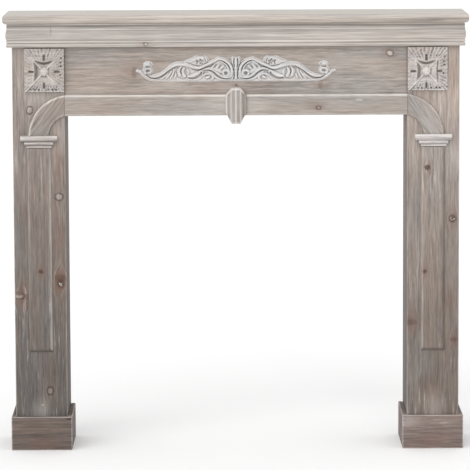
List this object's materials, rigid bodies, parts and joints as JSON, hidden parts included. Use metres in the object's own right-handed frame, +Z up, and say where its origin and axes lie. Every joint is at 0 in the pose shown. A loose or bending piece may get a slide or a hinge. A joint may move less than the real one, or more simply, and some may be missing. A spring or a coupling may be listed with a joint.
{
  "type": "fireplace mantelpiece",
  "caption": "Carved wooden fireplace surround with moulded shelf, fluted keystone, rosette blocks and scroll carving, open hearth below.",
  "frame": {"origin": "on the floor, at the middle of the overall width and depth", "axes": "+Z up, +X to the right seen from the front, front faces -Y and the wall is on the +Y side"},
  "size_m": [1.1, 0.1956, 1.042],
  "materials": {
    "shelf_wood": "limed fir, pale whitewash over greige wood, matt",
    "cornice_wood": "limed fir moulding, whitewash on the arrises, matt",
    "header_wood": "limed fir with the grain along the header, matt",
    "leg_wood": "limed fir with upright grain and knots, matt",
    "plinth_wood": "limed fir, darker towards the floor, matt",
    "carving_wood": "carved wood, whitewash gathered in the hollows, matt"
  },
  "bodies": {
    "root": {"mantel_shelf": "shelf_wood", "cornice_front": "cornice_wood", "cornice_return_left": "cornice_wood", "cornice_return_right": "cornice_wood", "frieze_board": "header_wood", "header_soffit": "header_wood", "lintel_rail": "header_wood", "keystone": "carving_wood", "scroll_carving": "carving_wood", "rosette_block_left": "carving_wood", "rosette_block_right": "carving_wood", "arch_bracket_left": "header_wood", "arch_bracket_right": "header_wood", "capital_left": "carving_wood", "capital_right": "carving_wood", "leg_front_board_left": "leg_wood", "leg_front_board_right": "leg_wood", "leg_outer_board_left": "leg_wood", "leg_outer_board_right": "leg_wood", "leg_inner_board_left": "leg_wood", "leg_inner_board_right": "leg_wood", "shaft_panel_left": "leg_wood", "shaft_panel_right": "leg_wood", "plinth_front_left": "plinth_wood", "plinth_front_right": "plinth_wood", "plinth_outer_left": "plinth_wood", "plinth_outer_right": "plinth_wood", "plinth_inner_left": "plinth_wood", "plinth_inner_right": "plinth_wood"}
  },
  "joints": []
}
